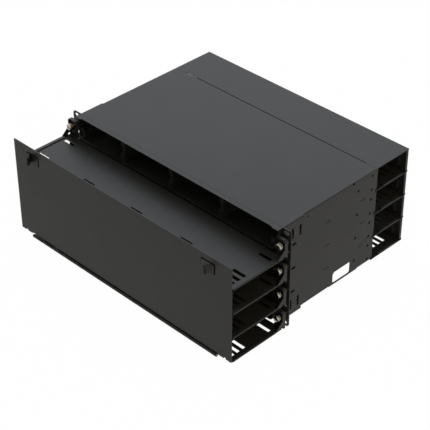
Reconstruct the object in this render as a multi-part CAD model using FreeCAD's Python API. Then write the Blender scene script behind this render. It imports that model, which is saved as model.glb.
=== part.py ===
import FreeCAD, Part
import math
import os

# Fibre patch panel, four rack units high, in folded sheet steel. Millimetres.
# Origin: middle of the plane of the ears' rear faces, which meet the rack posts.
# +X right, +Y back into the rack, +Z up. The hinged door is at -Y.
# The levels are numbered 1 to UNITS from the top down.

V = FreeCAD.Vector

# Rack front
RACK_W = 482.6            # width of the ears, front trays and door
UNIT_H = 44.45            # one rack unit
UNITS = 4
STACK_GAP = 0.8           # height left free between stacked panels
EAR_T = 2.0
EAR_REACH = 19.4          # how far each ear stands out from the body
EAR_FLANGE = 47.5         # side flange, from the ear's front face
EAR_CORNER_R = 4.5
HOLE_INSET = 8.75         # rack hole column, from the ear's outer edge
HOLE_LOW = 6.35           # lower rack slot of the end units, above their base
HOLE_HIGH = 38.1          # their upper rack slot
HOLE_L = 10.4
HOLE_W = 6.9
ADJUST_L = 18.6           # upright slots in the ear's side flange
ADJUST_W = 4.4
ADJUST_YS = (21.0, 37.6)
ADJUST_RISE = 20.35       # their middle, above the base of the end units
LEVEL_SLOT_L = 9.2        # short flange slots at the joints between units
LEVEL_SLOT_H = 4.0
LEVEL_SLOT_Y = 25.0
WINDOW_RISE = 4.0         # panel windows behind the upright slots, above them
WINDOW_SHIFT = 2.5        # panel windows behind the short slots, further back
EAR_DROP = 0.8            # top of the side flange, below the cover
EAR_COVER_GAP = 0.2

# Body: covers and side panels
COVER_FRONT = -10.3
NOSING_L = 8.1            # strip in front of the cover
NOSING_TAB_L = 2.2        # its ends, further forward
NOSING_TAB_W = 12.9
BODY_REAR = 213.0
COVER_T = 1.2
COVER_DROP = 0.3          # cover's top, below the ears' top
REAR_COVER_L = 79.65
SEAM = 0.15               # between the two covers, at their sides
GROOVE_DEPTH = 1.3        # wider gap between the covers
GROOVE_INSET = 22.0       # side stretch where the gap closes to the seam
PANEL_T = 1.5
TOP_FLANGE_W = 16.0
TOP_FLANGE_Y = (8.0, 156.0)
BOTTOM_FLANGE_W = 13.0
FRONT_RETURN_W = 12.0     # panel's front edge turned inward, above the cassette walls
FRONT_RETURN_RISE = 24.05  # its lower end, above the unit's base
BOTTOM_FLANGE_YS = ((18.0, 113.0), (180.0, 210.0))
CUTOUT_Y = (121.0, 163.5)
CUTOUT_LIFT = 2.5         # strip of panel left under the cut-out
CUTOUT_H = 21.0
CUTOUT_R = 5.0
EYE_Y = 56.1              # small hole near the panel's top
EYE_DROP = 8.7
EYE_R = 1.6
CORNER_CUT_W = 2.0        # relief behind the ear's flange, in the panel's top edge
CORNER_CUT_H = 12.0
BEND_R = 0.5              # inner radius of every fold

# Levels
SHELF_T = 1.2
SHELF_Y = (4.0, 206.0)
SHELF_SIDE_GAP = 0.3
TAB_YS = ((99.0, 108.4), (180.6, 190.0))
TAB_GAP = 0.6             # above and beside a tab in its slot
TAB_SINK = 0.5            # tab's end, inside the panel's outer face
GLIDE_H = 2.75
GLIDE_W = 14.0
GLIDE_Y = (8.0, 108.0)
GLIDE_INSET = 67.5        # from the cassette tray's side

# Cassette trays and their dividers
BAYS = 4
CASSETTE_T = 1.2
CASSETTE_FRONT = -11.2
CASSETTE_REAR = 118.0
CASSETTE_GAP = 2.9        # to the side panel
CASSETTE_WALL_H = 18.0
CASSETTE_R = 8.0
BAY_MARGIN = 2.0
DIVIDER_T = 1.2
DIVIDER_SHIFT = -2.3      # web, from the line between two bays
DIVIDER_Y = (-11.0, 114.0)
DIVIDER_HEADROOM = 0.5
LIP_W = 4.3               # folded lips on a divider's front edge
LOW_LIP_H = 18.0
HIGH_LIP_START = 15.5
TOP_LIP_W = 3.0
TOP_LIP_H = 6.5
FOOT_W = 9.0
FOOT_INSET = 4.0
WALL_LIP_W = 4.0          # lip beside the first bay
WALL_LIP_X = 4.5

# Front trays
SHEET_T = 1.5
STANDOFF_L = 6.7          # ear to bracket
STANDOFF_R = 4.0
RIM_D = 4.45              # rim in front of the bracket plate
TRAY_DEPTH = 106.25
HEM_W = 6.5
HEM_NOTCH = 2.2
HEM_FLAT = 0.075          # flat left on a hem's rounded edge
GUSSET_L = 14.05
GUSSET_H = 14.0
RELIEF_R = 2.5
BRACKET_W = 18.9
BRACKET_H = 30.0          # its top, above the tray floor
BRACKET_R = 5.0
BRACKET_GAP = 0.4         # to the body behind it
SLOT_L = 24.6
SLOT_W = 6.3
SLOT_ROWS = (11.2, 22.2, 34.2)
SIDE_SLOT_ROW = 88.9

# Thumbscrews
SCREW_RISE = 22.225       # axis, above the unit's base
SHANK_R = 2.0
SHANK_END = 0.5           # short of the ear's front face
THREAD_GAP = 0.05
FREE_GAP = 0.3
FERRULE_R = 4.25
FERRULE_L = 1.8
FERRULE_GAP = 0.2
HEAD_R = 5.5
HEAD_L = 9.3
HEAD_CHAMFER = 0.6
DRIVE_W = 1.2
DRIVE_D = 1.6

# Rear trays
REAR_TRAY_GAP = 2.0       # behind the side panels
REAR_FLOOR_LIFT = 0.1
REAR_HEM_Y = (18.0, 63.0)
REAR_HEM_W = 6.0
REAR_HEM_GAP = 0.8        # the hem is open to the outside
RETURN_L = 6.0
RETURN_LIFT = 4.0
WING_GAP = 0.4            # to the side panel
WING_L = 48.0
WING_TAIL = 4.0
WING_LIFT = 0.4
REAR_SLOT_L = 23.5
REAR_SLOT_PITCH = 11.5
REAR_SLOT_ROW = 42.75     # middle row, behind the tray's front edge
REAR_SLOT_INSET = 29.4    # outer column, from the tray's side
REAR_COLUMNS = 4
TIE_HOLE_R = 1.75
TIE_HOLE_INSET = 19.9
TIE_HOLE_ROW = 25.8
LANCE_INSET = 13.9
LANCE_Z = (12.0, 27.0)
LANCE_L = 7.0
REAR_GUSSET_INSET = 10.9
REAR_GUSSET = (6.0, 7.0)

# Door and hinge
DOOR_GAP = 2.6            # front edge of the trays to the door
DOOR_T = 2.0
DOOR_OVER = 0.4           # door's top, above the ears
DOOR_EDGE = 7.9           # bottom edge, above the lowest unit's base
LUG_LIFT = 5.7            # corner lugs, above the same base
STEP_LIFT = 6.7
LUG_NOTCH_LIFT = 8.2
HINGE_INSET = 28.3        # where the bottom edge steps down to the lugs
STEP_W = 3.0
LUG_W = 10.0
LUG_NOTCH_W = 4.0
LEAF_T = 1.2
BARREL_R = 2.8
BARREL_END = 1.0          # short of the step in the door's edge
HINGE_PIN_R = 1.5
PIN_GAP = 0.05
KNUCKLES = 17
KNUCKLE_GAP = 0.3
LEAF_GAP = 0.4            # barrel to the rest of each leaf
TRAY_LEAF_L = 16.0
DOOR_LEAF_H = 15.0
LEAF_NOTCH_H = 3.2        # notches in the door leaf, over the tray leaf's knuckles

# Slide latches in the door: alike but for their finger tabs, which are mirrored
LATCH_RIGHT_INSET = 32.1  # right-hand opening, from the door's side
LATCH_LEFT_INSET = 30.8
LATCH_DROP = 9.4          # top of the opening, below the door's top
LATCH_W = 29.2
LATCH_H = 18.5
LATCH_R = 3.0
LATCH_GAP = 0.3
LATCH_TRAVEL = 2.4
SLIDE_W = 26.2
SLIDE_H = 15.7
SLIDE_T = 1.8
TAB_EDGE = 0.8            # finger tab, inside the slide's upper and lower edges
FINGER_PROUD = 11.0       # how far the finger tab stands out of the door
FINGER_TIP_X = 15.0       # tip of the right-hand latch's tab, from the opening's left edge
FINGER_TIP_W = 1.6
FINGER_ROOT_X = 22.2
FINGER_ROOT_W = 2.6
FINGER_HOLLOW = 2.2       # how far the blade is curved
HOUSING_WALL = 1.2
HOUSING_D = 5.2
HOUSING_SIDE = 6.0        # cavity past the opening, each side
HOUSING_OVER = 2.2        # cavity past the opening, above and below
RAIL_H = 1.9
RAIL_D = 2.0
GUIDE_T = 1.4
GUIDE_W = 32.5
NECK_INSET = 6.0
SPRING_T = 0.8
SPRING_H = 18.0
TONGUE_W = 7.0
TONGUE_H = 4.5
TONGUE_X = 11.0           # from the opening's left edge
TONGUE_RISE = 6.0         # from its lower edge
TONGUE_PAST = 4.0         # past the catch's back
CATCH_GAP = 1.0           # housing to catch
CATCH_W = 18.0
CATCH_FOOT = 9.5
CATCH_OVER = 6.0

# Planes and edges that follow from the sizes above
HALF_RACK = RACK_W / 2
HALF_BODY = HALF_RACK - EAR_REACH
TOP = (UNITS * UNIT_H - STACK_GAP) / 2
COVER_UNDER = TOP - COVER_DROP - COVER_T
HOLE_X = HALF_RACK - HOLE_INSET


def base(level):
    """Height of the base of a level's rack unit."""
    return TOP + STACK_GAP / 2 - UNIT_H * level


FLOOR_RISE = SHELF_T / 2 + GLIDE_H + CASSETTE_T
CLEAR_H = COVER_UNDER - base(1)
PANEL_BOTTOM = base(UNITS) + FLOOR_RISE - CASSETTE_T - PANEL_T
PANEL_INSIDE = HALF_BODY - PANEL_T
HALF_CASSETTE = PANEL_INSIDE - CASSETTE_GAP
BAY_PITCH = 2 * (PANEL_INSIDE - BAY_MARGIN) / BAYS
BRACKET_BACK = -EAR_T - STANDOFF_L
BRACKET_FACE = BRACKET_BACK - SHEET_T
TRAY_REAR = BRACKET_FACE - RIM_D
TRAY_FRONT = TRAY_REAR - TRAY_DEPTH
BODY_FRONT = BRACKET_BACK + BRACKET_GAP
REAR_FRONT = BODY_REAR + REAR_TRAY_GAP
REAR_BACK = BODY_REAR + SEAM + REAR_COVER_L
WING_OUT = PANEL_INSIDE - WING_GAP
DOOR_BACK = TRAY_FRONT - DOOR_GAP
DOOR_FACE = DOOR_BACK - DOOR_T
DOOR_TOP = TOP + DOOR_OVER
TRAY_UNDER = base(UNITS) + FLOOR_RISE - SHEET_T
HINGE_Z = TRAY_UNDER - LEAF_T / 2
HINGE_Y = DOOR_BACK + LEAF_T - BARREL_R
HINGE_X = HALF_RACK - HINGE_INSET
BARREL_HALF = HINGE_X - BARREL_END
LATCH_TOP = DOOR_TOP - LATCH_DROP
LATCH_LOW = LATCH_TOP - LATCH_H
HOUSING_BACK = DOOR_BACK + HOUSING_D
CATCH_FACE = HOUSING_BACK + CATCH_GAP
TONGUE_LOW = LATCH_LOW + TONGUE_RISE
LATCH_XS = {"left": LATCH_LEFT_INSET - HALF_RACK, "right": HALF_RACK - LATCH_RIGHT_INSET - LATCH_W}
PAST = 1.0                # how far cutting tools run past a face


def floor_top(level):
    """Height of the top face of a level's tray floors."""
    return base(level) + FLOOR_RISE


def face_through(points, radii):
    """Flat face whose corner i is rounded by radii[i], or sharp where that is 0."""
    count = len(points)
    starts = list(points)
    ends = list(points)
    edges = []
    middles = {}
    for i, corner in enumerate(points):
        if radii[i] > 0:
            to_last = (points[i - 1] - corner).normalize()
            to_next = (points[(i + 1) % count] - corner).normalize()
            half_angle = to_last.getAngle(to_next) / 2
            reach = radii[i] / math.tan(half_angle)
            inward = (to_last + to_next).normalize()
            starts[i] = corner + to_last * reach
            ends[i] = corner + to_next * reach
            middles[i] = corner + inward * (radii[i] / math.sin(half_angle) - radii[i])
    for i in range(count):
        if i in middles:
            edges.append(Part.Arc(starts[i], middles[i], ends[i]).toShape())
        following = starts[(i + 1) % count]
        if ends[i].distanceToPoint(following) > 1e-6:
            edges.append(Part.makeLine(ends[i], following))
    return Part.Face(Part.Wire(edges))


def plate(plane, points, low, high, radii=0.0):
    """Outline in plane xy, xz or yz, thickened from low to high along its normal."""
    place = {
        "xy": lambda u, v: V(u, v, low),
        "xz": lambda u, v: V(u, low, v),
        "yz": lambda u, v: V(low, u, v),
    }[plane]
    normal = {"xy": V(0, 0, 1), "xz": V(0, 1, 0), "yz": V(1, 0, 0)}[plane]
    if not isinstance(radii, (list, tuple)):
        radii = [radii] * len(points)
    corners = [place(u, v) for u, v in points]
    return face_through(corners, radii).extrude(normal * (high - low))


def rectangle(u0, v0, u1, v1):
    """Corners of an upright rectangle, anticlockwise from its low corner."""
    return [(u0, v0), (u1, v0), (u1, v1), (u0, v1)]


def block(x0, x1, y0, y1, z0, z1):
    """Box between the given faces."""
    return Part.makeBox(x1 - x0, y1 - y0, z1 - z0, V(x0, y0, z0))


def rod(axis, centre, radius, length):
    """Cylinder that starts at centre and runs along +X or +Y."""
    direction = {"x": V(1, 0, 0), "y": V(0, 1, 0)}[axis]
    return Part.makeCylinder(radius, length, V(*centre), direction)


def folded(plane, path, thickness, low, high):
    """Sheet bent along path, which is one of its faces; the sheet lies to the path's left."""
    line = [V(u, v, 0) for u, v in path]
    steps = [(b - a).normalize() for a, b in zip(line, line[1:])]
    lefts = [V(-step.y, step.x, 0) for step in steps]
    other = [line[0] + lefts[0] * thickness]
    near = [0.0]
    far = [0.0]
    for i in range(1, len(line) - 1):
        spread = lefts[i - 1] + lefts[i]
        share = thickness / (1 + lefts[i - 1].dot(lefts[i]))
        other.append(line[i] + spread * share)
        turns_left = steps[i - 1].cross(steps[i]).z > 0
        near.append(BEND_R + thickness if turns_left else BEND_R)
        far.append(BEND_R if turns_left else BEND_R + thickness)
    other.append(line[-1] + lefts[-1] * thickness)
    near.append(0.0)
    far.append(0.0)
    outline = [(p.x, p.y) for p in line + other[::-1]]
    return plate(plane, outline, low, high, near + far[::-1])


def mirrored(shape):
    """The same shape on the other side of the middle plane."""
    return shape.mirror(V(0, 0, 0), V(1, 0, 0))


def both_sides(shape):
    """The shape and its mirror image."""
    return [shape, mirrored(shape)]


def group(shapes):
    """Separate solids that share one node."""
    return Part.makeCompound(shapes)


def joined(first, others):
    """One solid from parts that touch or overlap."""
    return first.fuse(others).removeSplitter()


# Covers

def cover_nosing():
    """Strip along the front of the cover, with a tab at each end."""
    wide = HALF_BODY + EAR_T
    strip = block(-wide, wide, COVER_FRONT, COVER_FRONT + NOSING_L, COVER_UNDER, COVER_UNDER + COVER_T)
    tab = block(wide - NOSING_TAB_W, wide, COVER_FRONT - NOSING_TAB_L, COVER_FRONT,
                COVER_UNDER, COVER_UNDER + COVER_T)
    return joined(strip, both_sides(tab))


def top_cover():
    """Flat lid over the cassettes, wider where it lies over the ears' flanges."""
    wide = HALF_BODY + EAR_T
    front = COVER_FRONT + NOSING_L + SEAM
    outline = [
        (-wide, front), (wide, front), (wide, EAR_FLANGE - EAR_T), (HALF_BODY, EAR_FLANGE - EAR_T),
        (HALF_BODY, BODY_REAR), (-HALF_BODY, BODY_REAR), (-HALF_BODY, EAR_FLANGE - EAR_T),
        (-wide, EAR_FLANGE - EAR_T),
    ]
    return plate("xy", outline, COVER_UNDER, COVER_UNDER + COVER_T)


def rear_top_cover():
    """Lid over the rear trays, with the long groove along its front edge."""
    front = BODY_REAR + SEAM
    groove = front + GROOVE_DEPTH
    inner = HALF_BODY - GROOVE_INSET
    outline = [
        (-HALF_BODY, front), (-inner, front), (-inner, groove), (inner, groove),
        (inner, front), (HALF_BODY, front), (HALF_BODY, REAR_BACK), (-HALF_BODY, REAR_BACK),
    ]
    return plate("xy", outline, COVER_UNDER, COVER_UNDER + COVER_T)


# Side panels

def side_panel():
    """Right-hand side: web with a top flange, two bottom flanges, front returns and its openings."""
    section = [
        (HALF_BODY - BOTTOM_FLANGE_W, PANEL_BOTTOM), (HALF_BODY, PANEL_BOTTOM),
        (HALF_BODY, COVER_UNDER), (HALF_BODY - TOP_FLANGE_W, COVER_UNDER),
    ]
    panel = folded("xz", section, PANEL_T, BODY_FRONT, BODY_REAR)
    middle = (PANEL_BOTTOM + COVER_UNDER) / 2
    tools = []
    starts = [BODY_FRONT - PAST] + [end for start, end in BOTTOM_FLANGE_YS]
    ends = [start for start, end in BOTTOM_FLANGE_YS] + [BODY_REAR + PAST]
    for start, end in zip(starts, ends):
        tools.append(flange_trim(start, end, PANEL_BOTTOM - PAST, middle))
    tools.append(flange_trim(BODY_FRONT - PAST, TOP_FLANGE_Y[0], middle, COVER_UNDER + PAST))
    tools.append(flange_trim(TOP_FLANGE_Y[1], BODY_REAR + PAST, middle, COVER_UNDER + PAST))
    low = PANEL_BOTTOM + CUTOUT_LIFT
    strip = block(PANEL_INSIDE, HALF_BODY, BOTTOM_FLANGE_YS[0][1], BOTTOM_FLANGE_YS[1][0],
                  PANEL_BOTTOM, low)
    added = [strip]
    for level in range(1, UNITS + 1):
        roof = COVER_UNDER if level == 1 else base(level - 1) - SHELF_T / 2 - SHELF_SIDE_GAP
        added.append(block(HALF_BODY - FRONT_RETURN_W, HALF_BODY, BODY_FRONT, BODY_FRONT + PANEL_T,
                           base(level) + FRONT_RETURN_RISE, roof))
    panel = joined(panel, added)
    opening = rectangle(CUTOUT_Y[0], low, CUTOUT_Y[1], low + CUTOUT_H)
    inside = PANEL_INSIDE - PAST
    outside = HALF_BODY + PAST
    tools.append(plate("yz", opening, inside, outside, CUTOUT_R))
    through = PANEL_T + 2 * PAST
    tools.append(rod("x", (inside, EYE_Y, COVER_UNDER - EYE_DROP), EYE_R, through))
    behind_flange = EAR_FLANGE - EAR_T
    tools.append(block(inside, outside, behind_flange, behind_flange + CORNER_CUT_W,
                       COVER_UNDER - CORNER_CUT_H, COVER_UNDER + PAST))
    for level in range(1, UNITS):
        for start, end in TAB_YS:
            tools.append(block(inside, outside, start - TAB_GAP, end + TAB_GAP,
                               base(level) - SHELF_T / 2, base(level) + SHELF_T / 2 + TAB_GAP))
        tools.append(flange_slot(LEVEL_SLOT_Y + WINDOW_SHIFT, base(level),
                                 LEVEL_SLOT_L, LEVEL_SLOT_H, inside))
    for level in (1, UNITS):
        for y in ADJUST_YS:
            tools.append(flange_slot(y, base(level) + ADJUST_RISE + WINDOW_RISE, ADJUST_W, ADJUST_L, inside))
    return panel.cut(tools)


def flange_trim(start, end, low, high):
    """Tool that takes the folded flange off a stretch of the side panel."""
    width = max(TOP_FLANGE_W, BOTTOM_FLANGE_W)
    return block(HALF_BODY - width - PAST, PANEL_INSIDE, start, end, low, high)


# Rack ears with their fasteners

def rack_ear():
    """Right-hand ear: slotted front plate and a side flange outside the panel."""
    path = [(HALF_BODY, EAR_FLANGE - EAR_T), (HALF_BODY, -EAR_T), (HALF_RACK, -EAR_T)]
    ear = folded("xy", path, EAR_T, -TOP, TOP)
    face = rectangle(HALF_BODY - PAST, -TOP, HALF_RACK, TOP)
    ear = ear.common(plate("xz", face, -EAR_T - PAST, EAR_FLANGE,
                           [0.0, EAR_CORNER_R, EAR_CORNER_R, 0.0]))
    tools = []
    for level in (1, UNITS):
        for rise in (HOLE_LOW, HOLE_HIGH):
            z = base(level) + rise
            slot = rectangle(HOLE_X - HOLE_L / 2, z - HOLE_W / 2, HOLE_X + HOLE_L / 2, z + HOLE_W / 2)
            tools.append(plate("xz", slot, -EAR_T - PAST, PAST, HOLE_W / 2))
    for level in (1, UNITS):
        z = base(level) + ADJUST_RISE
        for y in ADJUST_YS:
            tools.append(flange_slot(y, z, ADJUST_W, ADJUST_L, HALF_BODY - PAST))
    for level in range(1, UNITS):
        tools.append(flange_slot(LEVEL_SLOT_Y, base(level), LEVEL_SLOT_L, LEVEL_SLOT_H, HALF_BODY - PAST))
    tools.append(block(HALF_BODY - PAST, HALF_BODY + EAR_T + EAR_COVER_GAP, -EAR_T - PAST, EAR_FLANGE,
                       COVER_UNDER - EAR_DROP, TOP + PAST))
    return ear.cut(tools)


def flange_slot(y, z, length_y, length_z, start):
    """Tool for a slot through the ear's side flange, or through the panel behind it."""
    return block(start, HALF_BODY + EAR_T + PAST, y - length_y / 2, y + length_y / 2,
                 z - length_z / 2, z + length_z / 2)


def ear_standoff(x, level):
    """Threaded standoff on the front of the ear."""
    z = base(level) + SCREW_RISE
    body = rod("y", (x, BRACKET_BACK, z), STANDOFF_R, STANDOFF_L)
    bore = rod("y", (x, BRACKET_BACK - PAST, z), SHANK_R + THREAD_GAP, STANDOFF_L + 2 * PAST)
    return body.cut(bore)


def screw_ferrule(x, level):
    """Collar on the tray bracket that the thumbscrew turns in."""
    z = base(level) + SCREW_RISE
    collar = rod("y", (x, BRACKET_FACE - FERRULE_L, z), FERRULE_R, FERRULE_L)
    bore = rod("y", (x, BRACKET_FACE - FERRULE_L - PAST, z), SHANK_R + FREE_GAP, FERRULE_L + 2 * PAST)
    return collar.cut(bore)


def thumbscrew(x, level):
    """Captive thumbscrew, turned about Y, with a driver slot in its head."""
    head_back = BRACKET_FACE - FERRULE_L - FERRULE_GAP
    head_front = head_back - HEAD_L
    shank_back = -EAR_T - SHANK_END
    profile = [
        (0, head_front), (HEAD_R - HEAD_CHAMFER, head_front), (HEAD_R, head_front + HEAD_CHAMFER),
        (HEAD_R, head_back), (SHANK_R, head_back), (SHANK_R, shank_back), (0, shank_back),
    ]
    half = face_through([V(r, y, 0) for r, y in profile], [0.0] * len(profile))
    screw = half.revolve(V(0, 0, 0), V(0, 1, 0), 360)
    slot = block(-HEAD_R - PAST, HEAD_R + PAST, head_front - PAST, head_front + DRIVE_D,
                 -DRIVE_W / 2, DRIVE_W / 2)
    return screw.cut(slot).translated(V(x, 0, base(level) + SCREW_RISE))


# Shelves, cassette trays and dividers

def level_shelf(level):
    """Partition under a level, held by tabs in the side panels."""
    side = PANEL_INSIDE - SHELF_SIDE_GAP
    z = base(level) - SHELF_T / 2
    sheet = block(-side, side, SHELF_Y[0], SHELF_Y[1], z, z + SHELF_T)
    reach = HALF_BODY - TAB_SINK
    tabs = [block(-reach, reach, start, end, z, z + SHELF_T) for start, end in TAB_YS]
    return joined(sheet, tabs)


def cassette_glide(x, level):
    """Strip on a shelf that the cassette tray slides on."""
    z = base(level) + SHELF_T / 2
    return block(x - GLIDE_W / 2, x + GLIDE_W / 2, GLIDE_Y[0], GLIDE_Y[1], z, z + GLIDE_H)


def cassette_tray():
    """Wide channel under a row of cassettes, with a lip at each end; floor's top at height 0."""
    side = HALF_CASSETTE
    outer = [(-side, CASSETTE_WALL_H), (-side, -CASSETTE_T), (side, -CASSETTE_T), (side, CASSETTE_WALL_H)]
    wall = side - CASSETTE_T
    inner = [(wall, CASSETTE_WALL_H), (wall, 0), (-wall, 0), (-wall, CASSETTE_WALL_H)]
    inner_r = CASSETTE_R - CASSETTE_T
    radii = [0.0, CASSETTE_R, CASSETTE_R, 0.0, 0.0, inner_r, inner_r, 0.0]
    channel = plate("xz", outer + inner, CASSETTE_FRONT, CASSETTE_REAR, radii)
    lip_x = -wall + WALL_LIP_X
    lip = block(-wall, lip_x + WALL_LIP_W, BODY_FRONT, BODY_FRONT + DIVIDER_T, CASSETTE_R, LOW_LIP_H)
    return joined(channel, both_sides(lip))


def bay_divider(index):
    """Upright web between two bays, with folded lips at its front and a foot."""
    web_x = (index - BAYS / 2) * BAY_PITCH + DIVIDER_SHIFT
    left = web_x - DIVIDER_T / 2
    right = web_x + DIVIDER_T / 2
    height = CLEAR_H - FLOOR_RISE - DIVIDER_HEADROOM
    front = DIVIDER_Y[0]
    back = DIVIDER_Y[1]
    lip = front + DIVIDER_T
    web = block(left, right, front, back, 0, height)
    low_lip = block(left - LIP_W, left, front, lip, 0, LOW_LIP_H)
    high_lip = block(right, right + LIP_W, front, lip, HIGH_LIP_START, height)
    top_lip = block(left - TOP_LIP_W, left, front, lip, height - TOP_LIP_H, height)
    foot = block(left - FOOT_W, left, lip + FOOT_INSET, back - FOOT_INSET, 0, DIVIDER_T)
    return joined(web, [low_lip, high_lip, top_lip, foot])


# Front trays

def front_tray():
    """Slotted front shelf with hemmed sides and thumbscrew brackets; floor's top at height 0."""
    inner = HALF_RACK - HEM_W
    floor = block(-inner, inner, TRAY_FRONT, TRAY_REAR, -SHEET_T, 0)
    parts = []
    for side in tray_side():
        parts += both_sides(side)
    tray = joined(floor, parts)
    tools = []
    for column in range(-BAYS // 2, BAYS // 2 + 1):
        for row in SLOT_ROWS:
            tools.append(floor_slot(column * BAY_PITCH, TRAY_FRONT + row, SLOT_L, 0))
        if abs(column) == BAYS // 2:
            tools.append(floor_slot(column * BAY_PITCH, TRAY_FRONT + SIDE_SLOT_ROW, SLOT_L, 0))
    notch = block(inner, inner + HEM_NOTCH, TRAY_FRONT - PAST, TRAY_FRONT + HEM_NOTCH,
                  -SHEET_T - PAST, SHEET_T + PAST)
    relief = rod("x", (HALF_RACK - SHEET_T - PAST, TRAY_REAR, 0), RELIEF_R, SHEET_T + 2 * PAST)
    screw_hole = rod("y", (HOLE_X, BRACKET_FACE - PAST, SCREW_RISE - FLOOR_RISE),
                     SHANK_R + FREE_GAP, SHEET_T + 2 * PAST)
    for tool in (notch, relief, screw_hole):
        tools += both_sides(tool)
    return tray.cut(tools)


def tray_side():
    """Hem, gusset, bracket plate and rim on the tray's right-hand side."""
    inner = HALF_RACK - HEM_W
    gusset_front = TRAY_REAR - GUSSET_L
    hem_r = SHEET_T - HEM_FLAT
    hem = plate("xz", rectangle(inner, -SHEET_T, HALF_RACK, SHEET_T), TRAY_FRONT, gusset_front,
                [0.0, hem_r, hem_r, 0.0])
    upstand = folded("xz", [(inner, -SHEET_T), (HALF_RACK, -SHEET_T), (HALF_RACK, GUSSET_H)],
                     SHEET_T, gusset_front, TRAY_REAR)
    slope = [(gusset_front, -SHEET_T - PAST), (TRAY_REAR, -SHEET_T - PAST),
             (TRAY_REAR, GUSSET_H), (gusset_front, SHEET_T)]
    gusset = upstand.common(plate("yz", slope, inner - PAST, HALF_RACK + PAST))
    start = HALF_RACK - BRACKET_W
    cup = plate("xz", rectangle(start, -SHEET_T, HALF_RACK, BRACKET_H),
                TRAY_REAR, BRACKET_BACK, [0.0, 0.0, BRACKET_R, 0.0])
    hollow = plate("xz", rectangle(start - PAST, 0, HALF_RACK - SHEET_T, BRACKET_H - SHEET_T),
                   TRAY_REAR - PAST, BRACKET_FACE, [0.0, 0.0, BRACKET_R - SHEET_T, 0.0])
    return [hem, gusset, cup.cut(hollow)]


def floor_slot(x, y, length, top):
    """Tool for a strap slot through a tray floor with its top at the given height."""
    return block(x - length / 2, x + length / 2, y - SLOT_W / 2, y + SLOT_W / 2,
                 top - SHEET_T - PAST, top + PAST)


# Rear trays

def rear_tray():
    """Rear shelf with back wall and side wings; its unit's base is at height 0."""
    low = REAR_FLOOR_LIFT
    top = low + SHEET_T
    wall_front = REAR_BACK - SHEET_T
    floor = folded("yz", [(REAR_FRONT, low), (REAR_BACK, low), (REAR_BACK, RETURN_LIFT)],
                   SHEET_T, -HALF_BODY, HALF_BODY)
    path = [(HALF_BODY, REAR_BACK - RETURN_L), (HALF_BODY, REAR_BACK),
            (-HALF_BODY, REAR_BACK), (-HALF_BODY, REAR_BACK - RETURN_L)]
    wall = folded("xy", path, SHEET_T, RETURN_LIFT, CLEAR_H)
    hem_start = REAR_FRONT + REAR_HEM_Y[0]
    hem_end = REAR_FRONT + REAR_HEM_Y[1]
    hem_low = top + REAR_HEM_GAP
    hem_inner = HALF_BODY - REAR_HEM_W
    hem = joined(block(hem_inner, HALF_BODY, hem_start, hem_end, hem_low, hem_low + SHEET_T),
                 [block(hem_inner, hem_inner + SHEET_T, hem_start, hem_end, top, hem_low)])
    wing_low = PANEL_BOTTOM + PANEL_T + WING_LIFT - base(UNITS)
    wing_outline = [
        (BODY_REAR - WING_L, wing_low), (REAR_FRONT, wing_low), (REAR_FRONT, low),
        (REAR_FRONT + WING_TAIL, low), (REAR_FRONT + WING_TAIL, CLEAR_H), (BODY_REAR - WING_L, CLEAR_H),
    ]
    wing = plate("yz", wing_outline, WING_OUT - SHEET_T, WING_OUT)
    lance_x = HALF_BODY - LANCE_INSET
    lance = block(lance_x, lance_x + SHEET_T, wall_front - LANCE_L, wall_front, LANCE_Z[0], LANCE_Z[1])
    brace_y, brace_z = REAR_GUSSET
    brace_outline = [(wall_front, top), (wall_front, top + brace_z), (wall_front - brace_y, top)]
    brace_x = HALF_BODY - REAR_GUSSET_INSET
    brace = plate("yz", brace_outline, brace_x, brace_x + SHEET_T)
    parts = [wall]
    for side in (hem, wing, lance, brace):
        parts += both_sides(side)
    tray = joined(floor, parts)
    tools = []
    reach = HALF_BODY - REAR_SLOT_INSET
    for column in range(REAR_COLUMNS):
        x = -reach + 2 * reach * column / (REAR_COLUMNS - 1)
        for row in (-1, 0, 1):
            y = REAR_FRONT + REAR_SLOT_ROW + row * REAR_SLOT_PITCH
            tools.append(floor_slot(x, y, REAR_SLOT_L, top))
    tie_place = V(HALF_BODY - TIE_HOLE_INSET, REAR_FRONT + TIE_HOLE_ROW, low - PAST)
    tie_hole = Part.makeCylinder(TIE_HOLE_R, SHEET_T + 2 * PAST, tie_place)
    return tray.cut(tools + both_sides(tie_hole))


# Hinge

def knuckles(first):
    """Every second tube of the hinge barrel, from the given one on."""
    pitch = 2 * BARREL_HALF / KNUCKLES
    spans = []
    for i in range(first, KNUCKLES, 2):
        start = -BARREL_HALF + i * pitch + (KNUCKLE_GAP / 2 if i else 0.0)
        end = -BARREL_HALF + (i + 1) * pitch - (KNUCKLE_GAP / 2 if i < KNUCKLES - 1 else 0.0)
        spans.append((start, end))
    return spans


def hinge_leaf_tray():
    """Leaf under the lowest front tray, with its knuckles."""
    barrel_back = HINGE_Y + BARREL_R
    leaf = block(-BARREL_HALF, BARREL_HALF, barrel_back + LEAF_GAP, barrel_back + TRAY_LEAF_L,
                 TRAY_UNDER - LEAF_T, TRAY_UNDER)
    parts = []
    for start, end in knuckles(0):
        parts.append(rod("x", (start, HINGE_Y, HINGE_Z), BARREL_R, end - start))
        parts.append(block(start, end, HINGE_Y, barrel_back + LEAF_GAP + PAST,
                           TRAY_UNDER - LEAF_T, TRAY_UNDER))
    return joined(leaf, parts).cut(hinge_bore())


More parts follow.
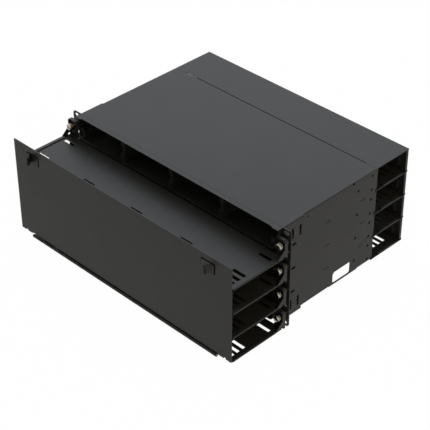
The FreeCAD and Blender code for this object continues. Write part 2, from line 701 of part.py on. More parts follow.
def hinge_leaf_door():
    """Leaf behind the door, with the other knuckles."""
    barrel_top = HINGE_Z + BARREL_R
    leaf_back = DOOR_BACK + LEAF_T
    leaf = block(-BARREL_HALF, BARREL_HALF, DOOR_BACK, leaf_back,
                 barrel_top + LEAF_GAP, barrel_top + DOOR_LEAF_H)
    notches = [block(start, end, DOOR_BACK - PAST, leaf_back + PAST, barrel_top, barrel_top + LEAF_NOTCH_H)
               for start, end in knuckles(0)]
    parts = []
    for start, end in knuckles(1):
        parts.append(rod("x", (start, HINGE_Y, HINGE_Z), BARREL_R, end - start))
        parts.append(block(start, end, DOOR_BACK, leaf_back, HINGE_Z, barrel_top + LEAF_GAP + PAST))
    return joined(leaf.cut(notches), parts).cut(hinge_bore())


def hinge_bore():
    """Tool for the bore along the whole barrel."""
    return rod("x", (-BARREL_HALF - PAST, HINGE_Y, HINGE_Z), HINGE_PIN_R + PIN_GAP, 2 * (BARREL_HALF + PAST))


def hinge_pin():
    """Wire pin as long as the barrel."""
    return rod("x", (-BARREL_HALF, HINGE_Y, HINGE_Z), HINGE_PIN_R, 2 * BARREL_HALF)


# Door and latches

def front_door():
    """Flat door with stepped bottom corners and an opening for each latch."""
    low = base(UNITS)
    corner = [
        (HINGE_X, low + DOOR_EDGE), (HINGE_X, low + STEP_LIFT),
        (HINGE_X + STEP_W, low + STEP_LIFT), (HINGE_X + STEP_W, low + LUG_LIFT),
        (HINGE_X + STEP_W + LUG_W, low + LUG_LIFT), (HINGE_X + STEP_W + LUG_W, low + LUG_NOTCH_LIFT),
        (HINGE_X + STEP_W + LUG_W + LUG_NOTCH_W, low + LUG_NOTCH_LIFT),
        (HINGE_X + STEP_W + LUG_W + LUG_NOTCH_W, low + LUG_LIFT), (HALF_RACK, low + LUG_LIFT),
    ]
    opposite = [(-x, z) for x, z in reversed(corner)]
    outline = corner + [(HALF_RACK, DOOR_TOP), (-HALF_RACK, DOOR_TOP)] + opposite
    door = plate("xz", outline, DOOR_FACE, DOOR_BACK)
    openings = []
    for x in LATCH_XS.values():
        openings.append(plate("xz", rectangle(x, LATCH_LOW, x + LATCH_W, LATCH_TOP),
                              DOOR_FACE - PAST, DOOR_BACK + PAST, LATCH_R))
    return door.cut(openings)


def latch_housing(opening_x):
    """Box behind the door, open to the front, with rails that keep the slide in."""
    x0 = opening_x - HOUSING_SIDE
    x1 = opening_x + LATCH_W + HOUSING_SIDE
    z0 = LATCH_LOW - HOUSING_OVER
    z1 = LATCH_TOP + HOUSING_OVER
    wall = HOUSING_WALL
    shell = block(x0 - wall, x1 + wall, DOOR_BACK, HOUSING_BACK, z0 - wall, z1 + wall)
    cavity = block(x0, x1, DOOR_BACK - PAST, HOUSING_BACK - wall, z0, z1)
    rails = [
        block(x0, x1, DOOR_BACK, DOOR_BACK + RAIL_D, z0, z0 + RAIL_H),
        block(x0, x1, DOOR_BACK, DOOR_BACK + RAIL_D, z1 - RAIL_H, z1),
    ]
    tongue_x = opening_x + TONGUE_X
    window = block(tongue_x - LATCH_GAP, tongue_x + TONGUE_W + LATCH_TRAVEL + LATCH_GAP,
                   HOUSING_BACK - wall - PAST, HOUSING_BACK + PAST,
                   TONGUE_LOW - LATCH_GAP, TONGUE_LOW + TONGUE_H + LATCH_GAP)
    return joined(shell.cut(cavity), rails).cut(window)


def door_latch(opening_x, tab_mirrored):
    """Slide with a curved finger tab, a guide plate, a spring bow and a tongue."""
    left = opening_x + LATCH_GAP
    low = LATCH_LOW + LATCH_GAP
    front_plate = plate("xz", rectangle(left, low, left + SLIDE_W, low + SLIDE_H),
                        DOOR_FACE, DOOR_FACE + SLIDE_T, LATCH_R - LATCH_GAP)
    finger = finger_tab(opening_x, low + TAB_EDGE, low + SLIDE_H - TAB_EDGE)
    if tab_mirrored:
        finger = finger.mirror(V(opening_x + LATCH_W / 2, 0, 0), V(1, 0, 0))
    guide_back = HOUSING_BACK - HOUSING_WALL - LATCH_GAP
    guide_front = guide_back - GUIDE_T
    neck = block(left + NECK_INSET, left + SLIDE_W - NECK_INSET, DOOR_FACE + SLIDE_T, guide_front,
                 low + TAB_EDGE, low + SLIDE_H - TAB_EDGE)
    guide_left = left - HOUSING_SIDE + LATCH_GAP
    guide_right = guide_left + GUIDE_W
    guide = block(guide_left, guide_right, guide_front, guide_back,
                  LATCH_LOW - HOUSING_OVER + LATCH_GAP, LATCH_TOP + HOUSING_OVER - LATCH_GAP)
    tongue_x = opening_x + TONGUE_X
    tongue = block(tongue_x, tongue_x + TONGUE_W, guide_back, CATCH_FACE + SHEET_T + TONGUE_PAST,
                   TONGUE_LOW, TONGUE_LOW + TONGUE_H)
    reach = opening_x + LATCH_W + HOUSING_SIDE - LATCH_TRAVEL - LATCH_GAP
    bow = spring_bow(guide_right, reach, guide_front, guide_back)
    return joined(front_plate, [finger, neck, guide, tongue, bow])


def finger_tab(opening_x, low, high):
    """Curved blade that leans to the left as it stands out of the door."""
    root_left = V(opening_x + FINGER_ROOT_X, DOOR_FACE, low)
    root_right = root_left + V(FINGER_ROOT_W, 0, 0)
    tip_left = V(opening_x + FINGER_TIP_X, DOOR_FACE - FINGER_PROUD, low)
    tip_right = tip_left + V(FINGER_TIP_W, 0, 0)
    along = (tip_right - root_right).normalize()
    curve = V(along.y, -along.x, 0) * FINGER_HOLLOW
    outer = Part.Arc(root_right, (root_right + tip_right) / 2 + curve, tip_right)
    inner = Part.Arc(tip_left, (root_left + tip_left) / 2 + curve, root_left)
    edges = [
        outer.toShape(), Part.makeLine(tip_right, tip_left),
        inner.toShape(), Part.makeLine(root_left, root_right),
    ]
    return Part.Face(Part.Wire(edges)).extrude(V(0, 0, high - low))


def spring_bow(root_x, tip_x, front, back):
    """Thin bow moulded on the guide plate; its tip meets the housing at full travel."""
    middle = (LATCH_LOW + LATCH_TOP) / 2
    half = SPRING_H / 2
    outer = Part.Arc(V(root_x, front, middle - half), V(tip_x, front, middle),
                     V(root_x, front, middle + half))
    inner = Part.Arc(V(root_x, front, middle + half - SPRING_T), V(tip_x - SPRING_T, front, middle),
                     V(root_x, front, middle - half + SPRING_T))
    edges = [
        outer.toShape(), Part.makeLine(outer.EndPoint, inner.StartPoint),
        inner.toShape(), Part.makeLine(inner.EndPoint, outer.StartPoint),
    ]
    return Part.Face(Part.Wire(edges)).extrude(V(0, back - front, 0))


def latch_catch(opening_x):
    """Upright on the top front tray, notched where the latch's tongue passes."""
    tongue_x = opening_x + TONGUE_X
    left = tongue_x + (TONGUE_W + LATCH_TRAVEL - CATCH_W) / 2
    foot = floor_top(1)
    path = [(CATCH_FACE, TONGUE_LOW + TONGUE_H + CATCH_OVER), (CATCH_FACE, foot),
            (CATCH_FACE + CATCH_FOOT, foot)]
    upright = folded("yz", path, SHEET_T, left, left + CATCH_W)
    notch = block(tongue_x - LATCH_GAP, tongue_x + TONGUE_W + LATCH_TRAVEL + LATCH_GAP,
                  CATCH_FACE - PAST, CATCH_FACE + SHEET_T + PAST,
                  TONGUE_LOW - LATCH_GAP, TONGUE_LOW + TONGUE_H + CATCH_OVER + PAST)
    return upright.cut(notch)


nodes = {}
nodes["cover_nosing"] = cover_nosing()
nodes["top_cover"] = top_cover()
nodes["rear_top_cover"] = rear_top_cover()
nodes["side_panel_right"] = side_panel()
nodes["side_panel_left"] = mirrored(nodes["side_panel_right"])
nodes["rack_ear_right"] = rack_ear()
nodes["rack_ear_left"] = mirrored(nodes["rack_ear_right"])
standoffs = []
ferrules = []
for level in range(1, UNITS + 1):
    standoffs += both_sides(ear_standoff(HOLE_X, level))
    ferrules += both_sides(screw_ferrule(HOLE_X, level))
nodes["ear_standoffs"] = group(standoffs)
nodes["screw_ferrules"] = group(ferrules)
front = front_tray()
cassette = cassette_tray()
dividers = group([bay_divider(index) for index in range(1, BAYS)])
rear = rear_tray()
for level in range(1, UNITS + 1):
    to_floor = V(0, 0, floor_top(level))
    nodes[f"front_tray_{level}"] = front.translated(to_floor)
    nodes[f"cassette_tray_{level}"] = cassette.translated(to_floor)
    nodes[f"bay_dividers_{level}"] = dividers.translated(to_floor)
    nodes[f"rear_tray_{level}"] = rear.translated(V(0, 0, base(level)))
    nodes[f"thumbscrew_left_{level}"] = thumbscrew(-HOLE_X, level)
    nodes[f"thumbscrew_right_{level}"] = thumbscrew(HOLE_X, level)
for level in range(1, UNITS):
    nodes[f"level_shelf_{level}"] = level_shelf(level)
glides = []
for level in range(1, UNITS):
    glides += both_sides(cassette_glide(HALF_CASSETTE - GLIDE_INSET, level))
nodes["cassette_glides"] = group(glides)
nodes["front_door"] = front_door()
nodes["hinge_leaf_tray"] = hinge_leaf_tray()
nodes["hinge_leaf_door"] = hinge_leaf_door()
nodes["hinge_pin"] = hinge_pin()
for name, opening_x in LATCH_XS.items():
    nodes[f"door_latch_{name}"] = door_latch(opening_x, name == "left")
    nodes[f"latch_housing_{name}"] = latch_housing(opening_x)
nodes["latch_catches"] = group([latch_catch(opening_x) for opening_x in LATCH_XS.values()])

os.makedirs("parts", exist_ok=True)
for name, shape in nodes.items():
    shape.exportStep(f"parts/{name}.step")
print(len(nodes), "nodes,", sum(len(shape.Solids) for shape in nodes.values()), "solids")
for name, shape in nodes.items():
    if not shape.isValid():
        print("not valid:", name)
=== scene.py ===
"""Fibre patch panel: finishes, small turned parts, floor, lamps and camera round the frame."""
import math

import bmesh
import bpy
from mathutils import Matrix, Vector


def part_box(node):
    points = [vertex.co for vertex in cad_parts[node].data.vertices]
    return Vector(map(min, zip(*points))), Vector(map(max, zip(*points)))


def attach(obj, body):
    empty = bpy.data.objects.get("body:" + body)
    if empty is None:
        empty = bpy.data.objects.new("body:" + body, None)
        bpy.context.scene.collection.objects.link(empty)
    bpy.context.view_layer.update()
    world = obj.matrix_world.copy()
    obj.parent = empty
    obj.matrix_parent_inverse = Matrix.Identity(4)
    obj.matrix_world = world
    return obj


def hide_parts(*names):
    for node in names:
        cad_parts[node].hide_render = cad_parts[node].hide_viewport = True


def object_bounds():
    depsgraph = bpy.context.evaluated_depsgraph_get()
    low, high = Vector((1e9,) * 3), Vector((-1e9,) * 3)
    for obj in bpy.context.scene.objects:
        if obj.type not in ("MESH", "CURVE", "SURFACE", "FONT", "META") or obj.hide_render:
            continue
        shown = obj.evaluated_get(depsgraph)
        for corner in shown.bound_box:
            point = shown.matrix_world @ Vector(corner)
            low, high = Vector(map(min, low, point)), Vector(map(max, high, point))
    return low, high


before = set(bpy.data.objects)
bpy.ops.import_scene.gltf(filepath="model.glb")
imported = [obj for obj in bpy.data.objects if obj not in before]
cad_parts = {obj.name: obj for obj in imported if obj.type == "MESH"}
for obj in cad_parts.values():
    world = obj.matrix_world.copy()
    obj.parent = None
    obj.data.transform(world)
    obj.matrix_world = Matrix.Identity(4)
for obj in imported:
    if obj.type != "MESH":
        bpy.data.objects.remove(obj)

bl_info = {
    "name": "Fibre patch panel",
    "version": (1, 0, 0),
    "blender": (4, 5, 0),
    "location": "3D view, sidebar, Patch panel",
    "description": "Finishes, turned parts and stage for a four-unit fibre patch panel",
    "category": "Object",
}

CAD_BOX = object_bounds()
MM = 0.001
LEVELS = (1, 2, 3, 4)
SIDES = {"left": -1, "right": 1}
SLOT_OF = {name: node.material_slots[0].material.name for name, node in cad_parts.items()}
# Faces that meet at fewer degrees than this are shaded as one.
SMOOTH_ANGLE = 35
# Edges of CAD nodes that turn by more degrees than this are rounded, by this many strips.
ROUND_ANGLE = 30
ROUND_STRIPS = 2
# Corners of CAD nodes that are nearer than this are one corner.
SAME_PLACE = 0.001 * MM
WHITE = (1.0, 1.0, 1.0, 1.0)
# Sides of a pin or rivet, as drawn.
HEAD_SIDES = 24
# How deep the knurl is at the steps of one tooth, as shares of its depth.
TOOTH = (0.0, 0.5, 1.0, 0.5)


def linear(hex_colour):
    """Linear red, green and blue of an sRGB hex colour."""
    channels = [int(hex_colour[i:i + 2], 16) / 255 for i in (1, 3, 5)]
    return tuple(c / 12.92 if c <= 0.04045 else ((c + 0.055) / 1.055) ** 2.4 for c in channels)


def colour(name, description, hex_colour):
    """Colour setting whose default is given as sRGB hex."""
    return bpy.props.FloatVectorProperty(
        name=name, description=description, subtype="COLOR", size=3, min=0.0, max=1.0,
        default=linear(hex_colour))


def length(name, description, millimetres):
    """Length setting whose default is given in millimetres."""
    return bpy.props.FloatProperty(name=name, description=description, unit="LENGTH",
                                   min=0.0, default=millimetres * MM)


def share(name, description, default):
    """Setting between 0 and 1."""
    return bpy.props.FloatProperty(name=name, description=description, subtype="FACTOR",
                                   min=0.0, max=1.0, default=default)


def power(name, description, watts):
    """Power setting of a lamp, in watts."""
    return bpy.props.FloatProperty(name=name, description=description, subtype="POWER",
                                   min=0.0, default=watts)


class PatchPanelFinish(bpy.types.PropertyGroup):
    """Colours and surface sizes of the finishes."""
    coat_deep: colour("Coat, deep", "Powder coat where it is darkest", "#20201d")
    coat_pale: colour("Coat, pale", "Powder coat where it is palest", "#252522")
    coat_roughness: share("Coat roughness", "How satin the powder coat is", 0.42)
    coat_grain: length("Coat grain", "Width of the coat's fine grain, as drawn", 0.9)
    coat_cloud: length("Coat cloud", "Width of the slow changes in the coat", 60.0)
    nickel: colour("Nickel", "Nickel plate of the thumbscrews", "#aaa397")
    zinc: colour("Zinc", "Zinc plate of standoffs and ferrules", "#b4b1aa")
    steel: colour("Steel", "Bare steel of the hinge pin", "#8f8a84")
    copper: colour("Copper", "Copper-washed rivets in the cassette trays", "#a98c78")
    oxide: colour("Oxide", "Black oxide on the clinched pins", "#0b0b0a")
    nylon: colour("Nylon", "Moulded latches and their housings", "#1b1a17")
    # Colour of the clinched pins: darker than the coat, as painted shade of recessed dots.
    acetal: colour("Acetal", "Glide strips under the cassette trays", "#222222")
    mould_grain: length("Mould grain", "Width of the grain on moulded parts, as drawn", 0.8)
    edge: length("Edge radius", "Radius that the finish leaves on sharp edges", 0.16)


class PatchPanelScrew(bpy.types.PropertyGroup):
    """Sizes of the knurled thumbscrews."""
    teeth: bpy.props.IntProperty(name="Teeth", description="Teeth of the straight knurl",
                                 default=40, min=8)
    tooth: length("Tooth depth", "Depth of the knurl", 0.22)
    chamfer: length("Chamfer", "Chamfer on both ends of the head", 0.7)
    groove: length("Groove", "Width of the groove round the middle of the head", 0.9)
    groove_depth: length("Groove depth", "Depth of that groove", 0.55)
    drive: length("Driver slot", "Width of the driver slot", 1.2)
    drive_depth: length("Driver slot depth", "Depth of the driver slot", 1.6)
    shank: length("Shank", "Radius of the threaded shank", 2.0)


class PatchPanelPins(bpy.types.PropertyGroup):
    """Sizes of the clinched pins and rivets."""
    pin: length("Pin", "Radius of a pin clinched in a side panel", 2.5)
    pin_proud: length("Pin height", "How far a pin stands out of the panel", 0.1)
    rivet: length("Rivet", "Radius of a rivet head in a cassette tray", 1.7)
    rivet_proud: length("Rivet height", "How far a rivet head stands out", 0.7)


class PatchPanelStage(bpy.types.PropertyGroup):
    """Floor, lamps and camera lens."""
    floor: length("Floor", "Width of the square floor", 9000.0)
    floor_white: share("Floor white", "How much of the floor the eye sees as plain white", 0.99)
    sky: bpy.props.FloatProperty(name="Sky", description="Strength of the plain light all round",
                                 default=0.33, min=0.0)
    key: power("Key", "Power of the large lamp high up at the back, on the left", 34.0)
    fill: power("Fill", "Power of the low lamp in front, on the right", 11.0)
    side: power("Side", "Power of the lamp high up on the right", 14.0)
    lens: bpy.props.FloatProperty(name="Lens", description="Camera's focal length in millimetres",
                                  default=119.43, min=1.0)


def add_node(tree, kind, settings=None, inputs=None):
    """Shader node with its settings. An input that is given a socket is linked to it."""
    node = tree.nodes.new(kind)
    for key, value in (settings or {}).items():
        setattr(node, key, value)
    for key, value in (inputs or {}).items():
        if isinstance(value, bpy.types.NodeSocket):
            tree.links.new(value, node.inputs[key])
        else:
            node.inputs[key].default_value = value
    return node


def new_material(name, values):
    """Material with a Principled shader set to the values; returns it, its tree and the shader."""
    material = bpy.data.materials.new(name)
    material.use_nodes = True
    tree = material.node_tree
    tree.nodes.clear()
    shader = add_node(tree, "ShaderNodeBsdfPrincipled", inputs=values)
    add_node(tree, "ShaderNodeOutputMaterial", inputs={"Surface": shader.outputs["BSDF"]})
    return material, tree, shader


def noise(tree, size, detail=2.0, stretch=(1.0, 1.0, 1.0)):
    """Noise with features about size metres wide, divided by stretch along X, Y and Z."""
    place = add_node(tree, "ShaderNodeTexCoord").outputs["Object"]
    scaled = add_node(tree, "ShaderNodeMapping", inputs={"Vector": place, "Scale": stretch})
    found = add_node(tree, "ShaderNodeTexNoise", inputs={
        "Vector": scaled.outputs["Vector"], "Scale": 1.0 / size, "Detail": detail})
    return found.outputs["Fac"]


def spread(tree, value, low, high):
    """The noise's middle range, 0.3 to 0.7, turned into numbers from low to high."""
    found = add_node(tree, "ShaderNodeMapRange", inputs={
        "Value": value, "From Min": 0.3, "From Max": 0.7, "To Min": low, "To Max": high})
    return found.outputs["Result"]


def between(tree, factor, first, second):
    """Colour mixed from first to second."""
    # Inputs 6 and 7 and output 2 are the mix node's colours.
    mix = add_node(tree, "ShaderNodeMix", {"data_type": "RGBA"}, {
        "Factor": factor, 6: (*first, 1.0), 7: (*second, 1.0)})
    return mix.outputs[2]


def tint_surface(tree, shader, pattern, first, second):
    """Surface colour that goes from first to second with the pattern."""
    mixed = between(tree, spread(tree, pattern, 0.0, 1.0), first, second)
    tree.links.new(mixed, shader.inputs["Base Color"])


def roughen_surface(tree, shader, pattern, low, high):
    """Roughness that goes from low to high with the pattern."""
    tree.links.new(spread(tree, pattern, low, high), shader.inputs["Roughness"])


def raise_surface(tree, shader, height, strength, distance):
    """Bump from height, distance metres high at full strength."""
    bump = add_node(tree, "ShaderNodeBump", inputs={
        "Height": height, "Strength": strength, "Distance": distance})
    tree.links.new(bump.outputs["Normal"], shader.inputs["Normal"])


def powder_coat(finish):
    """Satin black polyester powder coat."""
    # Sprayed dry and baked on folded steel: near black, a soft even sheen that lifts at low
    # angles, a fine orange-peel grain, and slow clouds of tone where the film is thicker.
    material, tree, shader = new_material("satin_black_powder_coat", {
        "IOR": 1.45, "Specular IOR Level": 0.21})
    cloud = noise(tree, finish.coat_cloud, 3.0)
    # The real grain is about 0.35 mm wide, finer than the picture shows, so it is drawn coarser.
    grain = noise(tree, finish.coat_grain)
    tint_surface(tree, shader, cloud, finish.coat_deep, finish.coat_pale)
    rough = finish.coat_roughness
    roughen_surface(tree, shader, grain, rough - 0.03, rough + 0.03)
    raise_surface(tree, shader, grain, 0.12, 0.05 * MM)
    return material


def scaled_tint(tint, factor):
    """Linear colour made lighter or darker by a factor."""
    return tuple(factor * channel for channel in tint)


def bare_metal(name, tint, roughness, mark_stretch, mark_size):
    """Metal with stains and fine tool marks, mark_size metres wide where they aren't stretched."""
    material, tree, shader = new_material(name, {"Metallic": 1.0})
    stain = noise(tree, 5 * MM, 3.0)
    marks = noise(tree, mark_size, 2.0, mark_stretch)
    tint_surface(tree, shader, stain, scaled_tint(tint, 0.82), tint)
    roughen_surface(tree, shader, marks, roughness - 0.05, roughness + 0.07)
    raise_surface(tree, shader, marks, 0.15, 0.02 * MM)
    return material


def nickel_plate(finish):
    """Bright nickel on turned steel."""
    # Warm silver, smooth enough to mirror the room as soft bright bands between dark ones,
    # with fine rings round the axis, which runs along Y.
    return bare_metal("bright_nickel_plate", finish.nickel, 0.2, (0.15, 1.0, 0.15), 0.5 * MM)


def zinc_plate(finish):
    """Bright zinc on turned steel."""
    # Greyer and duller than nickel, with faint tool rings left by the lathe.
    return bare_metal("zinc_plated_steel", finish.zinc, 0.34, (0.15, 1.0, 0.15), 0.5 * MM)


def drawn_steel(finish):
    """Drawn steel wire of the hinge pin."""
    # Grey and slightly warm, with fine drawing marks along the wire, which runs along X.
    return bare_metal("drawn_steel", finish.steel, 0.38, (0.1, 1.0, 1.0), 0.6 * MM)


def copper_wash(finish):
    """Copper-washed rivet heads."""
    # A thin pinkish film over steel, which catches the light as a small warm spot in a dark bay.
    return bare_metal("copper_washed_steel", finish.copper, 0.3, (1.0, 1.0, 1.0), 0.8 * MM)


def pin_painted_shade(finish):
    """Steel pins whose dark colour is painted shade of recessed dots."""
    # Dull and darker than the coat round them as painted shade, so each pin reads as a small dark
    # dot.
    material, tree, shader = new_material("black_oxide_steel", {
        "IOR": 1.5, "Specular IOR Level": 0.03})
    blotch = noise(tree, 1.5 * MM)
    tint_surface(tree, shader, blotch, finish.oxide, scaled_tint(finish.oxide, 1.4))
    roughen_surface(tree, shader, blotch, 0.55, 0.7)
    raise_surface(tree, shader, blotch, 0.2, 0.05 * MM)
    return material


def moulded(name, tint, roughness, finish, ior):
    """Moulded black plastic with a spark-eroded grain."""
    material, tree, shader = new_material(name, {"IOR": ior, "Specular IOR Level": 0.2})
    # The real grain is about 0.2 mm wide; it is drawn coarser so that it shows.
    grain = noise(tree, finish.mould_grain)
    flow = noise(tree, 12 * MM)
    tint_surface(tree, shader, flow, tint, scaled_tint(tint, 1.35))
    roughen_surface(tree, shader, grain, roughness - 0.04, roughness + 0.04)
    raise_surface(tree, shader, grain, 0.15, 0.04 * MM)
    return material


def moulded_nylon(finish):
    """Glass-filled nylon of the latches."""
    # Black and a little greyer and duller than the coat around it.
    return moulded("moulded_black_nylon", finish.nylon, 0.46, finish, 1.53)


def acetal_strip(finish):
    """Acetal of the glide strips."""
    # Slick and slightly waxy, so its sheen is softer and wider.
    return moulded("black_acetal", finish.acetal, 0.36, finish, 1.48)


def soften_edges(node, radius):
    """Rounds the sharp edges of a CAD node with modifiers, and leaves its mesh as it is."""
    # The packed mesh has corners of its own for each flat face. They are joined first, so that
    # faces share their edges.
    weld = node.modifiers.new("joined corners", "WELD")
    weld.merge_threshold = SAME_PLACE
    edge = node.modifiers.new("rounded edges", "BEVEL")
    edge.width = radius
    edge.segments = ROUND_STRIPS
    edge.limit_method = "ANGLE"
    edge.angle_limit = math.radians(ROUND_ANGLE)
    edge.use_clamp_overlap = True


def dress(slot, material, radius):
    """Gives every CAD node of a material slot its finish and soft edges."""
    for name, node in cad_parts.items():
        if SLOT_OF[name] == slot:
            for material_slot in node.material_slots:
                material_slot.material = material
            soften_edges(node, radius)


def new_piece(name, mesh, material, body, place=(0.0, 0.0, 0.0)):
    """Object for a finished bmesh, riding on a body, with its finish in a material slot."""
    bmesh.ops.recalc_face_normals(mesh, faces=mesh.faces)
    data = bpy.data.meshes.new(name)
    mesh.to_mesh(data)
    mesh.free()
    data.shade_smooth()
    data.set_sharp_from_angle(angle=math.radians(SMOOTH_ANGLE))
    data.materials.append(material)
    piece = bpy.data.objects.new(name, data)
    piece.location = place
    bpy.context.scene.collection.objects.link(piece)
    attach(piece, body)
    return piece


def turn(mesh, profile, matrix, steps, tooth_depth=0.0):
    """Adds a solid turned about Y from points of radius, y and share of the knurl's depth."""
    rings = []
    for radius, along, cut in profile:
        ring = []
        for i in range(steps):
            angle = 2 * math.pi * i / steps
            reach = radius - cut * tooth_depth * TOOTH[i % len(TOOTH)]
            place = Vector((reach * math.cos(angle), along, reach * math.sin(angle)))
            ring.append(mesh.verts.new(matrix @ place))
        rings.append(ring)
    for near, far in zip(rings, rings[1:]):
        for i in range(steps):
            after = (i + 1) % steps
            mesh.faces.new((near[i], near[after], far[after], far[i]))
    mesh.faces.new(rings[0])
    mesh.faces.new(rings[-1])


class SheetMetal(bpy.types.Operator):
    """Powder coat and soft edges on every folded sheet"""
    bl_idname = "patchpanel.sheet_metal"
    bl_label = "Coat the sheet metal"

    def execute(self, context):
        finish = context.scene.patch_panel_finish
        dress("powder_coat", powder_coat(finish), finish.edge)
        return {"FINISHED"}


class Hardware(bpy.types.Operator):
    """Plate on standoffs and ferrules, drawn steel on the hinge pin"""
    bl_idname = "patchpanel.hardware"
    bl_label = "Plate the hardware"

    def execute(self, context):
        finish = context.scene.patch_panel_finish
        dress("zinc_plate", zinc_plate(finish), finish.edge)
        dress("steel_pin", drawn_steel(finish), finish.edge)
        return {"FINISHED"}


class Mouldings(bpy.types.Operator):
    """Nylon on the latches and housings, acetal on the glide strips"""
    bl_idname = "patchpanel.mouldings"
    bl_label = "Finish the mouldings"

    def execute(self, context):
        finish = context.scene.patch_panel_finish
        dress("latch_plastic", moulded_nylon(finish), finish.edge)
        dress("glide_plastic", acetal_strip(finish), finish.edge)
        return {"FINISHED"}


class Thumbscrews(bpy.types.Operator):
    """Knurled nickel thumbscrews in place of the plain ones"""
    bl_idname = "patchpanel.thumbscrews"
    bl_label = "Make the thumbscrews"

    # Length of the head, the slope at the groove's edges, the lip at the face, and the cut at
    # the shank's end.
    HEAD = 9.3 * MM
    SLOPE = 0.35 * MM
    LIP = 0.12 * MM
    END = 0.4 * MM

    def execute(self, context):
        size = context.scene.patch_panel_screw
        material = nickel_plate(context.scene.patch_panel_finish)
        for side in SIDES:
            for level in LEVELS:
                node = f"thumbscrew_{side}_{level}"
                piece = self.screw(node, size, material)
                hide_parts(node)
        return {"FINISHED"}

    def screw(self, node, size, material):
        """One thumbscrew in the box of the CAD node."""
        low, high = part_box(node)
        radius = (high.x - low.x) / 2
        shank_back = high.y - low.y
        chamfer = size.chamfer
        groove_front = (self.HEAD - size.groove) / 2
        groove_back = (self.HEAD + size.groove) / 2
        neck = radius - size.groove_depth
        # The face's edge is rounded by three short slopes, and only the two lands are knurled.
        profile = [
            (radius - 1.6 * chamfer, 0.0, 0.0), (radius - chamfer, self.LIP, 0.0),
            (radius - 0.25 * chamfer, 0.7 * chamfer, 0.0), (radius, chamfer, 1.0),
            (radius, groove_front - self.SLOPE, 1.0), (neck, groove_front, 0.0),
            (neck, groove_back, 0.0), (radius, groove_back + self.SLOPE, 1.0),
            (radius, self.HEAD - chamfer, 1.0), (radius - chamfer, self.HEAD, 0.0),
            (size.shank, self.HEAD, 0.0), (size.shank, shank_back - self.END, 0.0),
            (size.shank - self.END, shank_back, 0.0),
        ]
        mesh = bmesh.new()
        turn(mesh, profile, Matrix.Identity(4), len(TOOTH) * size.teeth, size.tooth)
        place = ((low.x + high.x) / 2, low.y, (low.z + high.z) / 2)
        piece = new_piece(f"knurled_{node}", mesh, material, node, place)
        self.cut_slot(piece, radius, size)
        return piece

    def cut_slot(self, piece, radius, size):
        """Driver slot across the front of the head."""
        cutter_mesh = bmesh.new()
        # The tool is a tenth longer than the head is wide, and half of it is in front of the head.
        scale = Matrix.Diagonal((2.2 * radius, 2 * size.drive_depth, size.drive, 1.0))
        bmesh.ops.create_cube(cutter_mesh, size=1.0, matrix=piece.matrix_world @ scale)
        data = bpy.data.meshes.new("driver_slot_tool")
        cutter_mesh.to_mesh(data)
        cutter_mesh.free()
        cutter = bpy.data.objects.new("driver_slot_tool", data)
        bpy.context.scene.collection.objects.link(cutter)
        cut = piece.modifiers.new("driver slot", "BOOLEAN")
        cut.object = cutter
        cut.solver = "EXACT"
        evaluated = piece.evaluated_get(bpy.context.evaluated_depsgraph_get())
        finished = bpy.data.meshes.new_from_object(evaluated)
        piece.modifiers.clear()
        piece.data = finished
        finished.name = piece.name
        finished.set_sharp_from_angle(angle=math.radians(SMOOTH_ANGLE))
        bpy.data.objects.remove(cutter)
        bpy.data.meshes.remove(data)


class Pins(bpy.types.Operator):
    """Pins clinched in the side panels, and rivets in the cassette trays"""
    bl_idname = "patchpanel.pins"
    bl_label = "Make the pins"

    # Pins of a level: distance behind the ears and height above the unit's base, in millimetres.
    PLACES = ((204.3, 35.1), (204.3, 8.6), (171.6, 22.3))
    # One more, near the panel's top edge, measured from the lowest unit's base.
    TOP_PLACE = (160.3, 173.8)
    # A rivet: distance behind the ears and height above the cassette tray's floor.
    RIVET = (11.0, 8.5)
    # Height of a rack unit, the lowest unit's base, and the sheet of the cassette trays.
    UNIT = 44.45
    BASE = -88.9
    SHEET = 1.2
    # How deep a head starts inside its sheet.
    SUNK = 0.3

    def execute(self, context):
        size = context.scene.patch_panel_pins
        finish = context.scene.patch_panel_finish
        pins = bmesh.new()
        rivets = bmesh.new()
        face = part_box("side_panel_right")[1].x
        for side in SIDES.values():
            outward = Matrix.Rotation(-side * math.pi / 2, 4, "Z")
            inward = Matrix.Rotation(side * math.pi / 2, 4, "Z")
            for level in LEVELS:
                base = (self.BASE + self.UNIT * (len(LEVELS) - level)) * MM
                places = self.PLACES
                if level == LEVELS[-1]:
                    places += (self.TOP_PLACE,)
                for y, rise in places:
                    place = Matrix.Translation((side * face, y * MM, base + rise * MM))
                    turn(pins, self.head(size.pin, size.pin_proud), place @ outward, HEAD_SIDES)
                low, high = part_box(f"cassette_tray_{level}")
                y, rise = self.RIVET
                place = Matrix.Translation((side * (high.x - self.SHEET * MM), y * MM,
                                            low.z + (self.SHEET + rise) * MM))
                turn(rivets, self.head(size.rivet, size.rivet_proud), place @ inward, HEAD_SIDES)
        # The pins get a dark colour that is painted shade.
        new_piece("side_panel_pins", pins, pin_painted_shade(finish), "chassis")
        new_piece("cassette_tray_rivets", rivets, copper_wash(finish), "chassis")
        return {"FINISHED"}

    def head(self, radius, proud):
        """Profile of a low domed head that starts inside the sheet and has a flat top."""
        return [
            (radius, -self.SUNK * MM, 0.0), (radius, 0.5 * proud, 0.0),
            (0.85 * radius, 0.8 * proud, 0.0), (0.6 * radius, proud, 0.0),
        ]


